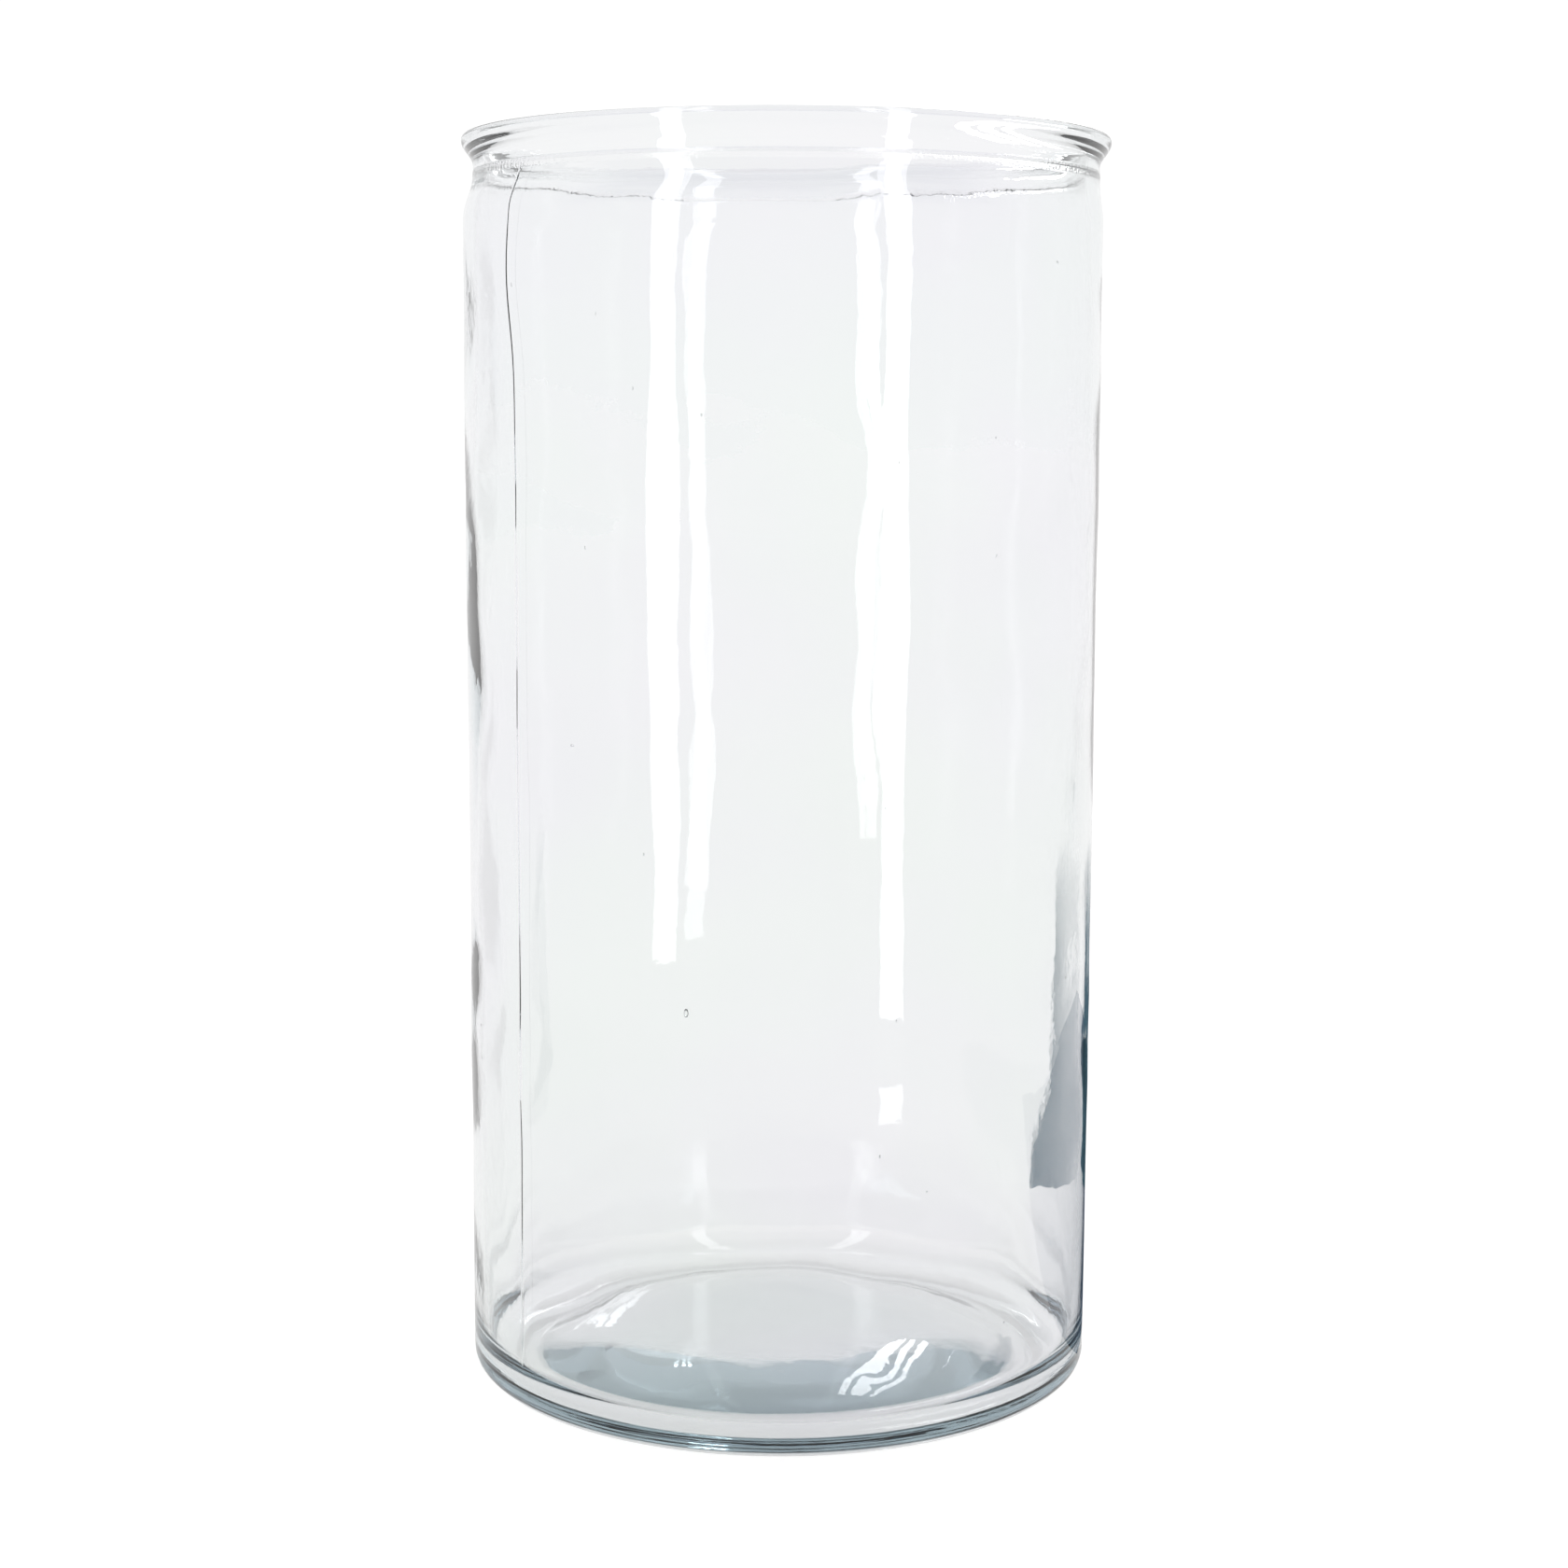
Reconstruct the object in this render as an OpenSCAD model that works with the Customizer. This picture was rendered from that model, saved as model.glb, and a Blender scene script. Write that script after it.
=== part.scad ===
// Moulded glass cylinder vase: straight wall, flared lip on a short drawn-in neck,
// floor thickest in the middle, rounded heel, standing on a contact ring round a shallow recess.
// Millimetres, +Z up, origin at the centre of the contact ring, on the surface it stands on.
// The real vase is one piece of glass. Its three nodes are the regions that the mould's own
// parts form, and they meet face to face: lip_ring, wall and base.

/* [Body] */
// Outside diameter of the straight wall
body_d = 200; // [150:5:260]
// Height from the contact ring to the top of the lip
height = 395; // [280:5:500]
// Thickness of the glass in the wall and the neck
wall_t = 4; // [3:0.5:6]

/* [Lip and neck] */
// How far the flared lip stands out past the wall
lip_overhang = 1.2; // [0.8:0.2:3]
// Height over which the neck flares out into the lip
flare_h = 9; // [6:0.5:10]
// How far the inside of the neck opens over that height
inner_flare = 1.5; // [0.5:0.5:1.5]
// Round of the lip's outer edge
lip_round_r = 1.8; // [1:0.1:2]
// Round of the lip's inner edge
lip_edge_r = 1.6; // [1:0.1:1.8]
// Height of the neck and lip above the mould line
finish_h = 12; // [12:0.5:16]
// How far the neck is drawn in from the wall
neck_inset = 2.3; // [1.8:0.1:3]

/* [Shoulder] */
// Height over which the wall's outside rounds in to the mould line
shoulder_h = 14; // [8:1:24]
// Height over which the wall's inside rounds in to the neck
inner_shoulder_h = 14; // [8:1:24]
// Width of the ledge that the mould line leaves round the neck
ledge_w = 0.4; // [0.2:0.1:1]

/* [Mould marks] */
// Radius of the bead along the mould line under the neck
parting_bead_r = 0.3; // [0.2:0.1:0.6]
// Radius of the two upright seam ridges
seam_ridge_r = 0.6; // [0.3:0.1:1]
// How far the seam ridges stand proud of the wall
seam_proud = 0.2; // [0.1:0.05:0.3]
// Length over which each seam ridge has faded out at the shoulder and the base
seam_fade = 3; // [1:1:20]
// Direction of the plane through both seams, counted from +X
seam_angle = 38; // [0:1:179]

/* [Base] */
// Thickness of the floor in the valley round its raised middle
floor_t = 5; // [4:0.5:8]
// How much thicker the middle of the floor is than the valley
floor_rise = 8; // [4:0.5:10]
// Radius of the flat middle of the floor
floor_flat_r = 30; // [10:1:35]
// Width of the valley, out to the round that leads up to the wall
valley_w = 3; // [1:0.5:5]
// Round between the floor and the wall, inside
fillet_r = 15; // [12:1:20]
// Round of the heel, outside
heel_r = 7; // [5:0.5:9]
// Slope of the underside between the contact ring and the heel, in degrees
heel_slope = 8; // [7:1:12]
// Height at which that slope runs into the round of the heel
heel_lift = 2; // [1:0.5:3]
// Width of the contact ring
contact_w = 7; // [5:1:12]
// Depth of the recess inside the contact ring
recess_h = 0.4; // [0.2:0.1:1]

/* [Hidden] */
$fn = 180;
glass_colour = [0.82, 0.91, 0.90, 0.5];
overshoot = 1;                               // how far a cut runs past the face that it opens
body_r = body_d / 2;
bore_r = body_r - wall_t;                    // inside of the straight wall
neck_r = body_r - neck_inset;                // outside of the neck
mouth_r = neck_r - wall_t;                   // inside of the neck and the lip
lip_r = body_r + lip_overhang;
lip_mouth_r = mouth_r + inner_flare;         // inside of the lip at its top
flare_z = height - flare_h;
parting_z = height - finish_h;               // mould line, where lip_ring meets wall
ledge_r = neck_r + ledge_w;                  // outside of the wall at the mould line
shoulder_z = parting_z - shoulder_h;
heel_x = body_r - heel_r;                    // centre of the heel round
heel_z = heel_lift + heel_r * cos(heel_slope);
heel_end_x = heel_x + heel_r * sin(heel_slope);
contact_r = heel_end_x - heel_lift / tan(heel_slope);   // outer edge of the contact ring
recess_r = contact_r - contact_w;
fillet_x = bore_r - fillet_r;                // where the round of the floor begins
base_top_z = floor_t + fillet_r;             // where base meets wall
rise_r = fillet_x - valley_w;                // where the floor begins to rise
rise_arc_r = arc_radius(rise_r - floor_flat_r, floor_rise);
floor_top_z = floor_t + floor_rise;

// Radius of the arc that falls away by drop over the length of half its chord
function arc_radius(half_chord, drop) = (half_chord * half_chord + drop * drop) / (2 * drop);

// A round at (x, z) in a half-section
module round_at(x, z, r) {
    translate([x, z]) circle(r);
}

// Filled half-section from the axis out to x1, between two heights
module band(x1, z0, z1) {
    translate([0, z0]) square([x1, z1 - z0]);
}

// Filled half-section out to r that rounds in to top_r over the last rise of its height
module shouldered_band(r, top_r, z0, z1, rise) {
    arc_r = arc_radius(rise, r - top_r);
    band(r, z0, z1 - rise);
    intersection() {
        band(r, z1 - rise, z1);
        union() {
            band(r - arc_r, z1 - rise, z1);
            round_at(r - arc_r, z1 - rise, arc_r);
        }
    }
}

// Lip that flares out from a straight neck, with a round along each edge of its flat top
module lip_profile() {
    outer_round = [lip_r - lip_round_r, height - lip_round_r];
    inner_round = [lip_mouth_r + lip_edge_r, height - lip_edge_r];
    round_at(outer_round.x, outer_round.y, lip_round_r);
    round_at(inner_round.x, inner_round.y, lip_edge_r);
    polygon([
        [mouth_r, parting_z], [neck_r, parting_z], [neck_r, flare_z], [lip_r, outer_round.y],
        [outer_round.x, height], [inner_round.x, height], [lip_mouth_r, inner_round.y], [mouth_r, flare_z]
    ]);
}

// Wall with its shoulder and the bead along the mould line
module wall_profile() {
    difference() {
        union() {
            shouldered_band(body_r, ledge_r, base_top_z, parting_z, shoulder_h);
            round_at(ledge_r + parting_bead_r / 2, parting_z - parting_bead_r, parting_bead_r);
        }
        band(bore_r, base_top_z - overshoot, base_top_z + overshoot);
        shouldered_band(bore_r, mouth_r, base_top_z, parting_z, inner_shoulder_h);
        band(mouth_r, parting_z - overshoot, parting_z + overshoot);
    }
}

// Outside of the base: recess, contact ring, the slope up from it and the heel round
module base_outside_profile() {
    difference() {
        union() {
            polygon([[0, 0], [contact_r, 0], [heel_end_x, heel_lift], [heel_x, heel_z], [0, heel_z]]);
            round_at(heel_x, heel_z, heel_r);
            band(body_r, heel_z, base_top_z);
        }
        band(recess_r, -overshoot, recess_h);
    }
}

// Hollow over the floor, with its round out to the wall
module base_hollow_profile() {
    band(fillet_x, floor_t, base_top_z + overshoot);
    intersection() {
        round_at(fillet_x, base_top_z, fillet_r);
        band(bore_r, floor_t, base_top_z + overshoot);
    }
}

// Raised middle of the floor, flat on top and rounding down into the valley
module floor_rise_profile() {
    band(floor_flat_r, recess_h + overshoot, floor_top_z);
    intersection() {
        round_at(floor_flat_r, floor_top_z - rise_arc_r, rise_arc_r, $fn = 720);
        band(rise_r, recess_h + overshoot, floor_top_z);
    }
}

module base_profile() {
    difference() {
        base_outside_profile();
        base_hollow_profile();
    }
    floor_rise_profile();
}

// One upright seam ridge, proud of the straight wall from just over the base to just under the shoulder
module seam_ridge() {
    translate([body_r + seam_proud - seam_ridge_r, 0, base_top_z + seam_fade])
        cylinder(h = shoulder_z - base_top_z - 2 * seam_fade, r = seam_ridge_r, $fn = 24);
}

module lip_ring() {
    color(glass_colour) rotate_extrude() lip_profile();
}

module wall() {
    color(glass_colour) {
        rotate_extrude() wall_profile();
        for (side = [0, 180])
            rotate([0, 0, seam_angle + side]) seam_ridge();
    }
}

module base() {
    color(glass_colour) rotate_extrude() base_profile();
}

lip_ring();
wall();
base();
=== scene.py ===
"""Clear moulded-glass cylinder vase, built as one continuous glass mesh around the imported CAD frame."""

import math

import bpy
import numpy as np
from mathutils import Matrix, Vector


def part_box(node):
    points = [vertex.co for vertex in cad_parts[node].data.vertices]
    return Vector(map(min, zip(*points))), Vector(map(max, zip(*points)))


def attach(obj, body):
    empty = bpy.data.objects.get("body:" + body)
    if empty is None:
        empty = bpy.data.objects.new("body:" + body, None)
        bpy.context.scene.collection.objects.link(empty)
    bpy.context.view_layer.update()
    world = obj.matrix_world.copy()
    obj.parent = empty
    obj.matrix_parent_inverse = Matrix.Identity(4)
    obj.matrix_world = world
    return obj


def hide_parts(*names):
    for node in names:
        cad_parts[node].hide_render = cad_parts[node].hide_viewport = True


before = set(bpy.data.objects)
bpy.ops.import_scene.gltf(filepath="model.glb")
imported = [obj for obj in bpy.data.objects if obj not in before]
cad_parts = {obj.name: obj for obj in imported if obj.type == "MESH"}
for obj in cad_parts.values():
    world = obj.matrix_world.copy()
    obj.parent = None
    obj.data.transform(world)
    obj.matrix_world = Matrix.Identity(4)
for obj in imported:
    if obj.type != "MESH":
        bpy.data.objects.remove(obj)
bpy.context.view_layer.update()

# ---------------------------------------------------------------- dimensions, in metres
MM = 0.001
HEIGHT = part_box("lip_ring")[1].z
PARTING_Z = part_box("lip_ring")[0].z          # mould line under the neck
BASE_TOP_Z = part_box("base")[1].z             # where the round of the floor meets the straight wall
BODY_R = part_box("base")[1].x
LIP_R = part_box("lip_ring")[1].x
WALL_T = 4.0 * MM
BORE_R = BODY_R - WALL_T
NECK_R = BODY_R - 2.3 * MM
MOUTH_R = NECK_R - WALL_T
LEDGE_R = NECK_R + 0.1 * MM                  # outside of the wall at the mould line
HEEL_R = 7.0 * MM
HEEL_SLOPE = math.radians(8)                 # slope from the contact ring out to the heel, as in the CAD
HEEL_LIFT = 2.0 * MM                         # height at which that slope meets the round of the heel
HEEL_X = BODY_R - HEEL_R
HEEL_Z = HEEL_LIFT + HEEL_R * math.cos(HEEL_SLOPE)
HEEL_END_X = HEEL_X + HEEL_R * math.sin(HEEL_SLOPE)
CONTACT_R = HEEL_END_X - HEEL_LIFT / math.tan(HEEL_SLOPE)
HEEL_FULLNESS = 2.3                          # 2 makes a quarter ellipse, more fills its corner
RECESS_R = CONTACT_R - 7.0 * MM
RECESS_H = 0.4 * MM
FILLET_R = 15.0 * MM
FLOOR_T = BASE_TOP_Z - FILLET_R
FLOOR_R = BORE_R - FILLET_R
FLOOR_RISE = 8.0 * MM                        # how much the floor is thicker in the middle
FLAT_R = 30.0 * MM                           # flat middle of the floor
RISE_ARC_R = ((FLOOR_R - FLAT_R) ** 2 + (FILLET_R - FLOOR_RISE) ** 2 - FILLET_R ** 2) / (2 * FLOOR_RISE)
SHOULDER_H = 14.0 * MM
BEAD_R = 0.15 * MM                           # bead along the mould line
FLARE_H = 9.0 * MM                           # height over which the neck flares out into the lip
INNER_FLARE = 1.5 * MM                       # how far the inside of the neck opens over that height
LIP_ROUND = 1.8 * MM                         # round of the lip's outer edge
LIP_EDGE_R = 1.6 * MM                        # round of the lip's inner edge
NECK_SHIFT = 0.9 * MM                        # how far the neck and lip sit off centre
RISE_SHIFT = 0.045                           # how far the raised middle of the floor is pushed aside
SEAM_ANGLE = math.radians(38)                # plane through both mould seams, from +X
SEAM_WIDTH = 0.38 * MM
OUTSIDE, INSIDE = 0, 1                       # the two skins of the glass


# ---------------------------------------------------------------- outline of the glass
def arc(cx, cz, radius, start, end, count):
    """Points on an arc in the (r, z) half-section, angles in degrees from the +r direction."""
    angles = np.radians(np.linspace(start, end, count))
    return [(cx + radius * math.cos(a), cz + radius * math.sin(a)) for a in angles]


def line(start, end, count):
    """Evenly spaced points between start and end, without either end."""
    steps = np.linspace(0, 1, count + 2)[1:-1]
    return [(start[0] + (end[0] - start[0]) * t, start[1] + (end[1] - start[1]) * t) for t in steps]


def ease(r_low, r_high, z_low, z_high, count):
    """Points of an S-curve that leaves one upright line and joins another."""
    steps = np.linspace(0, 1, count)
    return [(r_low + (r_high - r_low) * t * t * (3 - 2 * t), z_low + (z_high - z_low) * t) for t in steps]


def heel(count):
    """Soft outer edge of the base, from the contact ring up to the straight wall."""
    points = []
    for a in np.radians(np.linspace(-90, 0, count)):
        across = abs(math.cos(a)) ** (2 / HEEL_FULLNESS)
        down = abs(math.sin(a)) ** (2 / HEEL_FULLNESS)
        points.append((CONTACT_R + (BODY_R - CONTACT_R) * across, HEEL_Z * (1 - down)))
    return points


def underside(count):
    """Flat underside, set up a little inside the contact ring."""
    radii = RECESS_R * np.linspace(0.02, 1, count)
    return [(r, RECESS_H * (1 - (r / RECESS_R) ** 20)) for r in radii]


def floor_top(count):
    """Top of the floor from the end of its round in the valley up to the flat middle."""
    turn = math.degrees(math.asin((FLOOR_R - FLAT_R) / (RISE_ARC_R + FILLET_R)))
    points = arc(FLOOR_R, FLOOR_T + FILLET_R, FILLET_R, -92, -90 - turn, 5)
    points += arc(FLAT_R, FLOOR_T + FLOOR_RISE - RISE_ARC_R, RISE_ARC_R, 90 - turn, 90, count)[1:]
    return points + line((FLAT_R, FLOOR_T + FLOOR_RISE), (0, FLOOR_T + FLOOR_RISE), 5)


def outside_outline():
    """From the middle of the underside, round the heel and up the outside to the top of the lip."""
    shoulder_z = PARTING_Z - SHOULDER_H
    points = underside(16)
    points += line((RECESS_R, 0), (CONTACT_R, 0), 3)
    points += heel(14)
    points += line((BODY_R, HEEL_Z), (BODY_R, shoulder_z), 84)
    points += ease(BODY_R, LEDGE_R, shoulder_z, PARTING_Z - 0.5 * MM, 9)
    points += arc(LEDGE_R - 0.1 * MM, PARTING_Z - 0.3 * MM, BEAD_R, -30, 90, 5)
    points += line((NECK_R, PARTING_Z + 0.4 * MM), (NECK_R, HEIGHT - FLARE_H), 3)
    points += ease(NECK_R, LIP_R, HEIGHT - FLARE_H, HEIGHT - LIP_ROUND - 0.2 * MM, 10)
    points += arc(LIP_R - LIP_ROUND, HEIGHT - LIP_ROUND, LIP_ROUND, 0, 90, 9)
    return points


def inside_outline():
    """From the top of the lip down the inside to the middle of the floor."""
    shoulder_z = PARTING_Z - SHOULDER_H
    edge_r = MOUTH_R + INNER_FLARE
    points = arc(edge_r + LIP_EDGE_R, HEIGHT - LIP_EDGE_R, LIP_EDGE_R, 90, 180, 8)
    points += ease(edge_r, MOUTH_R, HEIGHT - LIP_EDGE_R - 0.2 * MM, HEIGHT - FLARE_H, 9)
    points += line((MOUTH_R, HEIGHT - FLARE_H), (MOUTH_R, PARTING_Z), 3)
    points += ease(MOUTH_R, BORE_R, PARTING_Z, shoulder_z, 10)
    points += line((BORE_R, shoulder_z), (BORE_R, FLOOR_T + FILLET_R), 70)
    points += arc(FLOOR_R, FLOOR_T + FILLET_R, FILLET_R, 0, -90, 14)
    points += floor_top(16)
    return points


# ---------------------------------------------------------------- unevenness of the glass
def smooth_step(low, high, value):
    t = np.clip((value - low) / (high - low), 0, 1)
    return t * t * (3 - 2 * t)


def ripples(angle, z, seed, layers):
    """Upright ripples round the wall that wander sideways with height, in metres.

    Each layer is a number of ripples round the wall and their size in millimetres.
    """
    draw = np.random.default_rng(seed)
    total = np.zeros_like(angle)
    for lobes, size in layers:
        turn, drift, wander = draw.uniform(0, 2 * math.pi, 3)
        rise = draw.uniform(0.09, 0.26)      # height over which the layer sways once
        swell = 0.7 + 0.3 * math.sin(2 * math.pi * z / (rise * 1.7) + drift)
        sway = 1.1 * math.sin(2 * math.pi * z / rise + wander)
        sway += 0.5 * math.sin(2 * math.pi * z / 0.05 + drift)
        total += size * MM * swell * np.cos(lobes * angle + turn + sway)
    return total


def seam_ridges(angle):
    """Height of the two upright mould seams, fine ridges on the outside, one of them nearly smooth."""
    total = np.zeros_like(angle)
    for seam, proud in ((SEAM_ANGLE, 0.05 * MM), (SEAM_ANGLE + math.pi, 0.2 * MM)):
        away = np.angle(np.exp(1j * (angle - seam))) * BODY_R
        total += proud * np.exp(-(away / SEAM_WIDTH) ** 2)
    return total


def seam_sway(angle, z):
    """Sideways bend of the near seam just under the shoulder, as an angle."""
    near = np.exp(-(np.angle(np.exp(1j * (angle - SEAM_ANGLE - math.pi))) / 0.22) ** 2)
    wander = -0.045 * math.exp(-((z - 0.352) / 0.022) ** 2)
    return near * wander


def floor_unevenness(radius, angle):
    """Low waves in the top of the floor that fade out at its middle, in metres."""
    draw = np.random.default_rng(23)
    x, y = radius * np.cos(angle), radius * np.sin(angle)
    total = np.zeros_like(x)
    for length, size in ((0.045, 0.05), (0.03, 0.03), (0.019, 0.012)):
        heading, shift = draw.uniform(0, 2 * math.pi, 2)
        along = x * math.cos(heading) + y * math.sin(heading)
        total += size * MM * np.sin(2 * math.pi * along / length + shift)
    return total * smooth_step(0.0, 0.02, radius)


OUTSIDE_LAYERS = [(2, 0.16), (3, 0.13), (5, 0.11), (8, 0.09), (12, 0.07), (19, 0.035), (29, 0.015)]
INSIDE_LAYERS = [(1, 0.30), (3, 0.20), (4, 0.16), (7, 0.12), (11, 0.09), (17, 0.05), (27, 0.02)]


def place(r, z, skin, angle):
    """Points of one ring of the outline, with the unevenness of moulded glass."""
    on_wall = smooth_step(0.012, 0.06, z) * (1 - 0.8 * smooth_step(PARTING_Z - 0.02, HEIGHT, z))
    if r < FLOOR_R:
        on_wall = 0
    layers = OUTSIDE_LAYERS if skin == OUTSIDE else INSIDE_LAYERS
    radius = r + on_wall * ripples(angle, z, 11 + skin, layers)
    if skin == OUTSIDE:
        seam = smooth_step(0.008, 0.05, z) * (1 - smooth_step(PARTING_Z - 0.003, PARTING_Z, z))
        radius = radius + seam * seam_ridges(angle)
        angle = angle + seam_sway(angle, z)
    height = np.full_like(angle, z)
    if skin == INSIDE and r < FLOOR_R:
        height = height + floor_unevenness(radius, angle)
        radius = radius * (1 - RISE_SHIFT * np.cos(angle) * 4 * (r / FLOOR_R) * (1 - r / FLOOR_R))
    offset = NECK_SHIFT * smooth_step(PARTING_Z - 0.012, PARTING_Z, z)
    return np.stack([radius * np.cos(angle) + offset, radius * np.sin(angle), height], -1)


def ring_angles():
    """Even steps all round, with finer ones beside the two seams."""
    angles = list(np.linspace(0, 2 * math.pi, 300, endpoint=False))
    for seam in (SEAM_ANGLE, SEAM_ANGLE + math.pi):
        angles += [seam + offset * MM / BODY_R for offset in np.linspace(-1.2, 1.2, 13)]
    return np.unique(np.round(angles, 7))


def add_rings(verts, faces, rings, first_tip, last_tip):
    """Adds a closed skin through the rings, with a fan of faces from a tip at each end."""
    start, rows, columns = len(verts), len(rings), len(rings[0])
    verts += [tuple(point) for ring in rings for point in ring]
    verts += [first_tip, last_tip]
    first, last = len(verts) - 2, len(verts) - 1
    for row in range(start, start + (rows - 1) * columns, columns):
        for j in range(columns):
            k = (j + 1) % columns
            faces.append((row + j, row + k, row + columns + k, row + columns + j))
    end = start + (rows - 1) * columns
    for j in range(columns):
        k = (j + 1) % columns
        faces.append((first, start + k, start + j))
        faces.append((last, end + j, end + k))


def add_bubble(verts, faces, angle, z, length, width):
    """Adds a bubble in the thickness of the wall, its skin facing the hollow inside."""
    middle = BODY_R - WALL_T / 2
    around = np.linspace(0, 2 * math.pi, 10, endpoint=False)
    rings = []
    for a in np.radians(np.linspace(60, -60, 5)):
        across = width / 2 * math.cos(a)
        radius = middle + across * np.sin(around)
        turn = angle + across * np.cos(around) / middle
        height = np.full_like(around, z + length / 2 * math.sin(a))
        rings.append(np.stack([radius * np.cos(turn), radius * np.sin(turn), height], -1))
    tip_x, tip_y = middle * math.cos(angle), middle * math.sin(angle)
    add_rings(verts, faces, rings, (tip_x, tip_y, z + length / 2), (tip_x, tip_y, z - length / 2))


def add_bubbles(verts, faces):
    """One large bubble low on the front and a scatter of small ones."""
    add_bubble(verts, faces, math.radians(-106), 0.137, 2.6 * MM, 1.4 * MM)
    draw = np.random.default_rng(5)
    for _ in range(26):
        angle, z = draw.uniform(0, 2 * math.pi), draw.uniform(0.03, 0.36)
        width = draw.uniform(0.35, 0.8) * MM
        add_bubble(verts, faces, angle, z, width * draw.uniform(1, 2.2), width)


def build_glass():
    angles = ring_angles()
    rings = [place(r, z, OUTSIDE, angles) for r, z in outside_outline()]
    rings += [place(r, z, INSIDE, angles) for r, z in inside_outline()]
    verts, faces = [], []
    add_rings(verts, faces, rings, (0, 0, RECESS_H), (0, 0, FLOOR_T + FLOOR_RISE))
    add_bubbles(verts, faces)
    mesh = bpy.data.meshes.new("vase_glass")
    mesh.from_pydata(verts, [], faces)
    mesh.shade_smooth()
    vase = bpy.data.objects.new("vase_glass", mesh)
    bpy.context.scene.collection.objects.link(vase)
    return vase


# ---------------------------------------------------------------- glass material
GLASS_IOR = 1.52
DEEP_COLOUR = (0.125, 0.31, 0.375, 1)        # what thick glass turns to
DEEP_DENSITY = 7.0                           # how fast, per metre


def noise(nodes, links, source, scale, detail):
    node = nodes.new("ShaderNodeTexNoise")
    node.inputs["Scale"].default_value = scale
    node.inputs["Detail"].default_value = detail
    links.new(source, node.inputs["Vector"])
    return node.outputs["Fac"]


def spread(nodes, links, value, start, end, low, high):
    """Maps value from start..end to low..high, smoothly and clamped."""
    node = nodes.new("ShaderNodeMapRange")
    node.interpolation_type = "SMOOTHSTEP"
    node.inputs["From Min"].default_value = start
    node.inputs["From Max"].default_value = end
    node.inputs["To Min"].default_value = low
    node.inputs["To Max"].default_value = high
    links.new(value, node.inputs["Value"])
    return node.outputs["Result"]


def combine(nodes, links, operation, first, second):
    """Math node on two sockets or numbers."""
    node = nodes.new("ShaderNodeMath")
    node.operation = operation
    for socket, value in zip(node.inputs, (first, second)):
        if isinstance(value, (int, float)):
            socket.default_value = value
        else:
            links.new(value, socket)
    return node.outputs[0]


def mould_line_band(nodes, links, height):
    """1 along the mould line under the neck, 0 away from it."""
    below = spread(nodes, links, height, PARTING_Z - 2.0 * MM, PARTING_Z - 0.8 * MM, 0, 1)
    above = spread(nodes, links, height, PARTING_Z + 0.2 * MM, PARTING_Z + 1.2 * MM, 1, 0)
    return combine(nodes, links, "MULTIPLY", below, above)


def glass_colour(nodes, links, position):
    """Nearly clear, with faint clouds of lilac and green."""
    cloud = noise(nodes, links, position, 9, 2)
    ramp = nodes.new("ShaderNodeValToRGB")
    ramp.color_ramp.elements[0].position = 0.38
    ramp.color_ramp.elements[0].color = (0.985, 1.0, 0.99, 1)
    ramp.color_ramp.elements[1].position = 0.62
    ramp.color_ramp.elements[1].color = (0.99, 0.985, 1.0, 1)
    links.new(cloud, ramp.inputs[0])
    return ramp.outputs[0]


def glass_bump(nodes, links, position, band):
    """Faint orange peel from the mould, with fine grain along the mould line."""
    peel = noise(nodes, links, position, 160, 2)
    grain = combine(nodes, links, "MULTIPLY", noise(nodes, links, position, 900, 2), band)
    height = combine(nodes, links, "ADD", peel, combine(nodes, links, "MULTIPLY", grain, 6))
    bump = nodes.new("ShaderNodeBump")
    bump.inputs["Strength"].default_value = 1.0
    bump.inputs["Distance"].default_value = 0.02 * MM
    links.new(height, bump.inputs["Height"])
    return bump.outputs[0]


def glass_material():
    material = bpy.data.materials.new("clear_glass")
    material.use_nodes = True
    nodes, links = material.node_tree.nodes, material.node_tree.links
    shader = nodes["Principled BSDF"]
    shader.inputs["IOR"].default_value = GLASS_IOR
    shader.inputs["Transmission Weight"].default_value = 1.0
    position = nodes.new("ShaderNodeTexCoord").outputs["Object"]
    axes = nodes.new("ShaderNodeSeparateXYZ")
    links.new(position, axes.inputs[0])
    band = mould_line_band(nodes, links, axes.outputs["Z"])
    smears = spread(nodes, links, noise(nodes, links, position, 22, 3), 0.55, 0.8, 0.0, 0.03)
    roughness = combine(nodes, links, "ADD", smears, combine(nodes, links, "MULTIPLY", band, 0.12))
    links.new(glass_colour(nodes, links, position), shader.inputs["Base Color"])
    links.new(roughness, shader.inputs["Roughness"])
    links.new(glass_bump(nodes, links, position, band), shader.inputs["Normal"])
    volume = nodes.new("ShaderNodeVolumeAbsorption")
    volume.inputs["Color"].default_value = DEEP_COLOUR
    volume.inputs["Density"].default_value = DEEP_DENSITY
    links.new(volume.outputs[0], nodes["Material Output"].inputs["Volume"])
    return material


glass = build_glass()
glass.data.materials.append(glass_material())
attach(glass, "root")
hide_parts("lip_ring", "wall", "base")


# ---------------------------------------------------------------- stage
BACKDROP_LEVEL = 1.08                        # radiance of the backdrop as the camera sees it
WHITE_LEVEL = 0.955                          # radiance of the backdrop as light on the glass
DARK_LEVEL = 0.5                             # radiance of the studio above and in front
DARK_TINT = (0.80, 0.84, 1.0, 1)             # colour of the light from there
FLOOR_GLOW = 0.595                           # light given off by the floor, a light table
FLOOR_GLOW_IN_VIEW = 0.86                    # the same as the camera sees it

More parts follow.
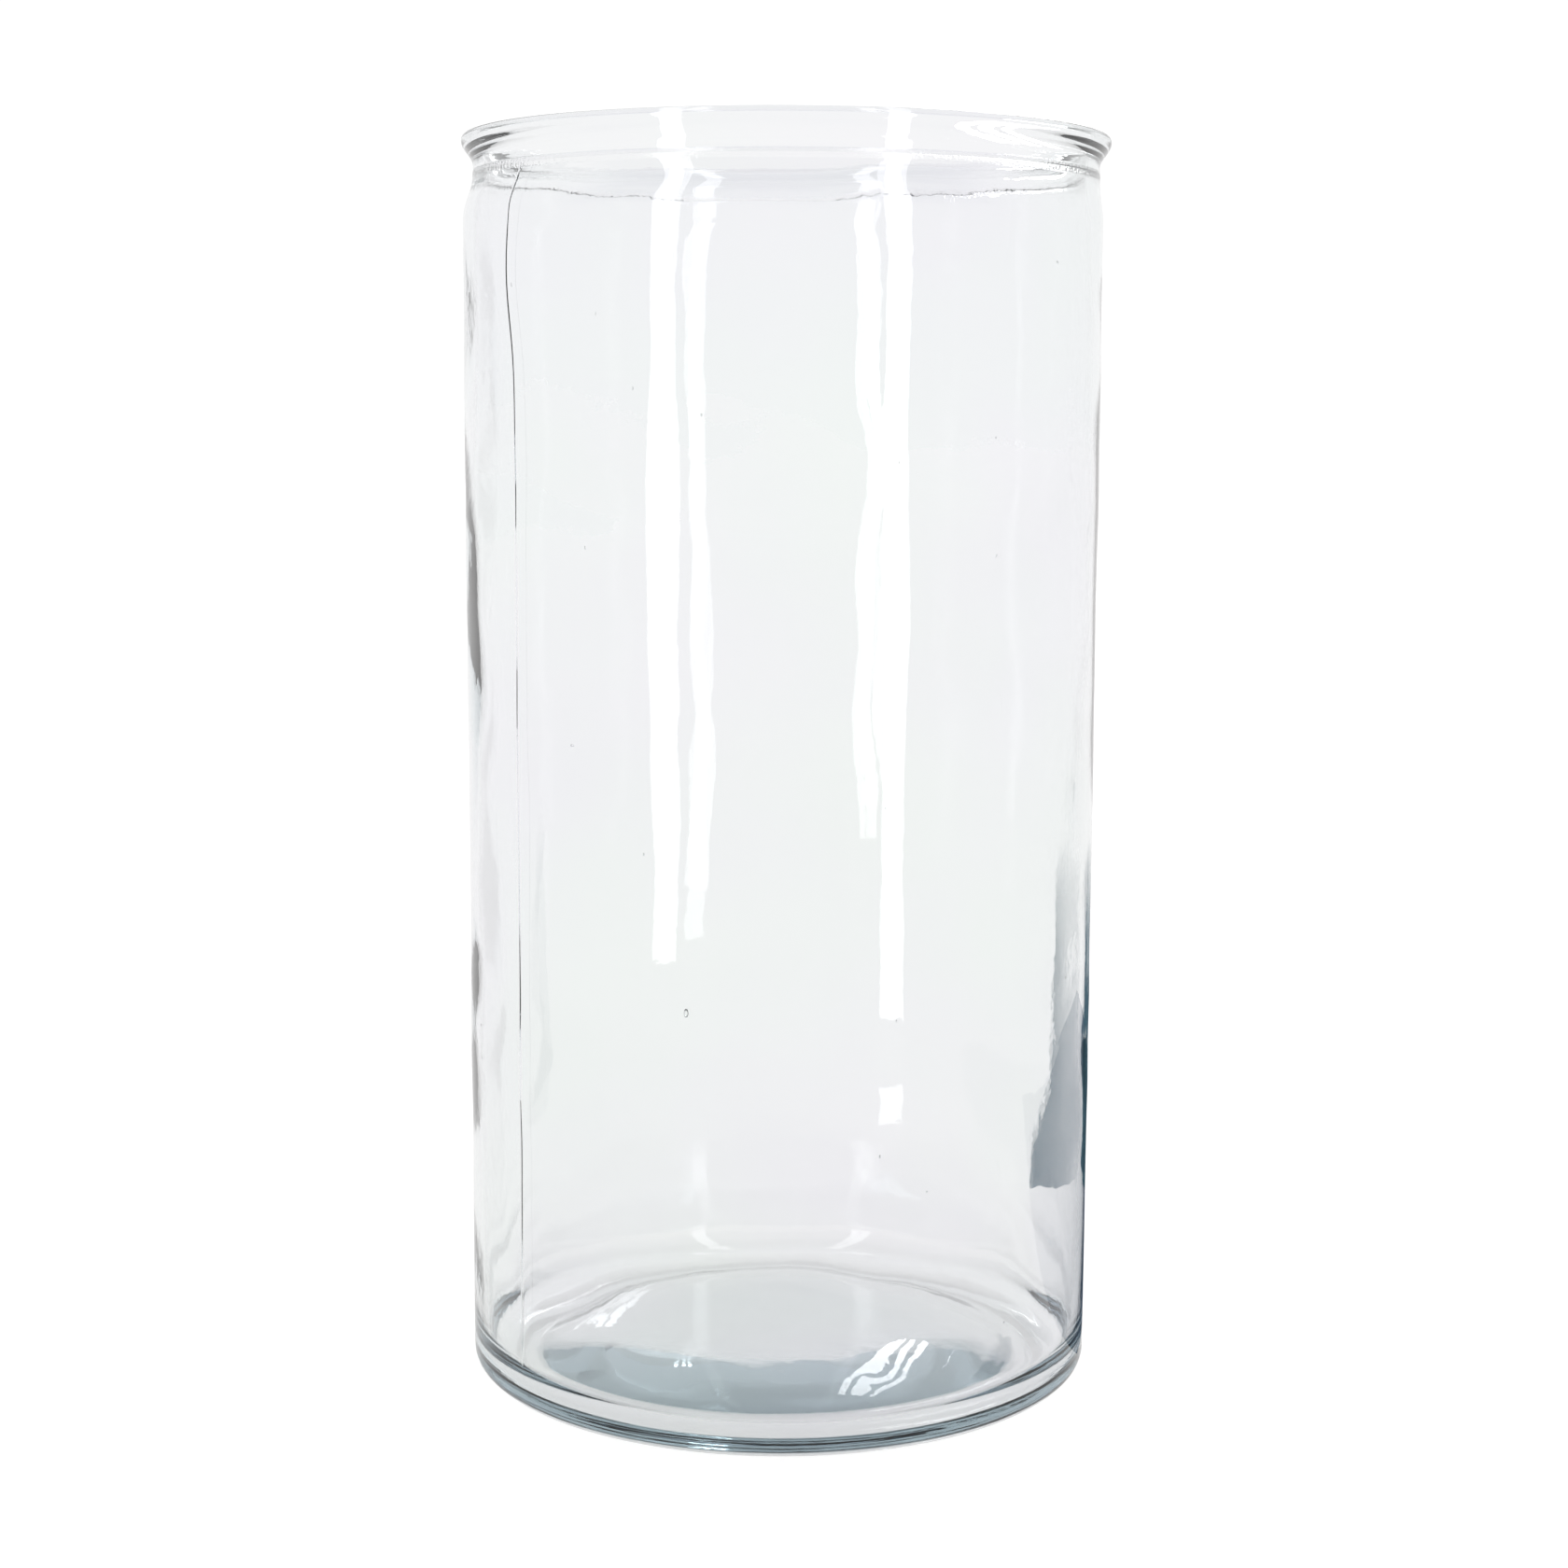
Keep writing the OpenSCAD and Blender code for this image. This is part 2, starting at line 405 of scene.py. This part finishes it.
# Upright soft lights: name, azimuth in degrees from the camera's side of the vase (positive to the right),
# distance, width, height of the lower end and the upper end, power
STRIPS = [
    ("strip_left", -38.5, 0.62, 0.085, 0.052, 1.3, 1.2),
    ("strip_right", 37.5, 0.62, 0.085, 0.008, 1.3, 1.2),
    ("window_pane_1", 166.2, 1.4, 0.03, 0.65, 1.4, 0.4),
    ("window_pane_2", 168.6, 1.4, 0.03, 0.65, 1.4, 0.4),
    ("window_pane_3", 170.6, 1.4, 0.03, 0.65, 1.4, 0.4),
]


def pick_for_camera(nodes, links, for_camera, for_light):
    """A value that is for_camera where the camera looks straight at it, and for_light elsewhere."""
    path = nodes.new("ShaderNodeLightPath")
    mix = nodes.new("ShaderNodeMix")
    links.new(path.outputs["Is Camera Ray"], mix.inputs["Factor"])
    mix.inputs["B"].default_value = for_camera
    if isinstance(for_light, float):
        mix.inputs["A"].default_value = for_light
    else:
        links.new(for_light, mix.inputs["A"])
    return mix.outputs["Result"]


def build_floor():
    bpy.ops.mesh.primitive_plane_add(size=60, location=(0, 0, -0.15 * MM))
    floor = bpy.context.object
    floor.name = "floor"
    paint = bpy.data.materials.new("floor_paint")
    paint.use_nodes = True
    nodes, links = paint.node_tree.nodes, paint.node_tree.links
    shader = nodes["Principled BSDF"]
    shader.inputs["Base Color"].default_value = (0.435, 0.42, 0.40, 1)
    shader.inputs["Roughness"].default_value = 0.9
    shader.inputs["Emission Color"].default_value = (1, 1, 1, 1)
    glow = pick_for_camera(nodes, links, FLOOR_GLOW_IN_VIEW, FLOOR_GLOW)
    links.new(glow, shader.inputs["Emission Strength"])
    floor.data.materials.append(paint)


def build_world():
    """White backdrop behind the vase (+Y) and round the horizon, darker studio above and in front."""
    world = bpy.data.worlds.new("studio")
    bpy.context.scene.world = world
    world.use_nodes = True
    nodes, links = world.node_tree.nodes, world.node_tree.links
    background = nodes["Background"]
    direction = nodes.new("ShaderNodeTexCoord")
    axes = nodes.new("ShaderNodeSeparateXYZ")
    links.new(direction.outputs["Generated"], axes.inputs[0])
    behind = spread(nodes, links, axes.outputs["Y"], -0.5, 0.0, 0, 1)
    overhead = spread(nodes, links, axes.outputs["Z"], 0.6, 1.0, 1, 0.8)
    horizon = spread(nodes, links, axes.outputs["Z"], 0.05, 0.35, 1, 0)
    backdrop = combine(nodes, links, "MULTIPLY", behind, overhead)
    white = combine(nodes, links, "MAXIMUM", backdrop, horizon)
    above_dark = combine(nodes, links, "MULTIPLY", WHITE_LEVEL - DARK_LEVEL, white)
    level = combine(nodes, links, "ADD", DARK_LEVEL, above_dark)
    links.new(pick_for_camera(nodes, links, BACKDROP_LEVEL, level), background.inputs["Strength"])
    tint = nodes.new("ShaderNodeMix")
    tint.data_type = "RGBA"
    tint.inputs["A"].default_value = DARK_TINT
    tint.inputs["B"].default_value = (1, 1, 1, 1)
    links.new(white, tint.inputs["Factor"])
    links.new(tint.outputs["Result"], background.inputs["Color"])


def strip(name, azimuth, distance, width, low, high, power):
    """One upright soft light of the list STRIPS."""
    light = bpy.data.lights.new(name, "AREA")
    light.shape = "RECTANGLE"
    light.size, light.size_y = width, high - low
    light.energy = power
    lamp = bpy.data.objects.new(name, light)
    turn = math.radians(azimuth)
    lamp.location = (distance * math.sin(turn), -distance * math.cos(turn), (low + high) / 2)
    lamp.rotation_euler = (math.radians(90), 0, turn)
    bpy.context.scene.collection.objects.link(lamp)
    lamp.visible_camera = False
    lamp.visible_diffuse = False


def streaky_paper():
    """Blue-grey paper with a soft streaky left edge that leans outwards and a top that fades out."""
    paper = bpy.data.materials.new("streaky_paper")
    paper.use_nodes = True
    nodes, links = paper.node_tree.nodes, paper.node_tree.links
    shader = nodes["Principled BSDF"]
    shader.inputs["Base Color"].default_value = (0.06, 0.15, 0.20, 1)
    shader.inputs["Roughness"].default_value = 0.8
    position = nodes.new("ShaderNodeTexCoord").outputs["Object"]
    axes = nodes.new("ShaderNodeSeparateXYZ")
    links.new(position, axes.inputs[0])
    stretch = nodes.new("ShaderNodeVectorMath")
    stretch.operation = "MULTIPLY"
    stretch.inputs[1].default_value = (1.0, 1.0, 0.12)
    links.new(position, stretch.inputs[0])
    streaks = noise(nodes, links, stretch.outputs[0], 420, 3)
    lean = combine(nodes, links, "MULTIPLY", axes.outputs["Z"], axes.outputs["Z"])
    reach = combine(nodes, links, "SUBTRACT", axes.outputs["X"], lean)
    reach = combine(nodes, links, "ADD", reach, combine(nodes, links, "MULTIPLY", streaks, 0.010))
    edge = spread(nodes, links, reach, 0.122, 0.128, 0, 1)
    top = spread(nodes, links, axes.outputs["Z"], 0.11, 0.15, 1, 0)
    links.new(combine(nodes, links, "MULTIPLY", edge, top), shader.inputs["Alpha"])
    return paper


def blue_paper():
    paper = bpy.data.materials.new("blue_paper")
    paper.use_nodes = True
    paper.node_tree.nodes["Principled BSDF"].inputs["Base Color"].default_value = (0.03, 0.08, 0.15, 1)
    return paper


def card(name, corners, paper):
    """Card of the stage that shows only in the glass, where it makes the dark patch low on the right."""
    mesh = bpy.data.meshes.new(name)
    mesh.from_pydata(corners, [], [(0, 1, 2, 3)])
    mesh.materials.append(paper)
    sheet = bpy.data.objects.new(name, mesh)
    bpy.context.scene.collection.objects.link(sheet)
    sheet.visible_camera = False
    sheet.visible_diffuse = False
    sheet.visible_shadow = False
    return sheet


def build_cards():
    """One card stands behind the vase, and one lies there and shows only as a reflection."""
    depth, left, right, bottom, top = 0.15, 0.108, 0.185, 0.014, 0.155
    corners = [(left, depth, bottom), (right, depth, bottom), (right, depth, top), (left, depth, top)]
    card("dark_card", corners, streaky_paper())
    left, right, near, far = 0.11, 0.5, 0.0, 0.45
    corners = [(left, near, 0), (right, near, 0), (right, far, 0), (left, far, 0)]
    card("reflected_card", corners, blue_paper()).visible_transmission = False


build_floor()
build_world()
for settings in STRIPS:
    strip(*settings)
build_cards()


# ---------------------------------------------------------------- camera
def build_camera():
    """Camera in front of the vase, lower than its lip and looking slightly down."""
    data = bpy.data.cameras.new("camera")
    data.lens = 63.54
    data.sensor_width = 36
    camera = bpy.data.objects.new("camera", data)
    camera.location = (0.00103, -0.88474, 0.31134)
    camera.rotation_mode = "QUATERNION"
    tilt = Matrix.Rotation(math.radians(90 - 7.706), 3, "X") @ Matrix.Rotation(0.0042, 3, "Z")
    camera.rotation_quaternion = tilt.to_quaternion()
    bpy.context.scene.collection.objects.link(camera)
    bpy.context.scene.camera = camera


build_camera()
scene = bpy.context.scene
scene.view_settings.view_transform = "Standard"
scene.cycles.use_denoising = True
scene.cycles.max_bounces = 24
scene.cycles.transmission_bounces = 24
scene.cycles.glossy_bounces = 12
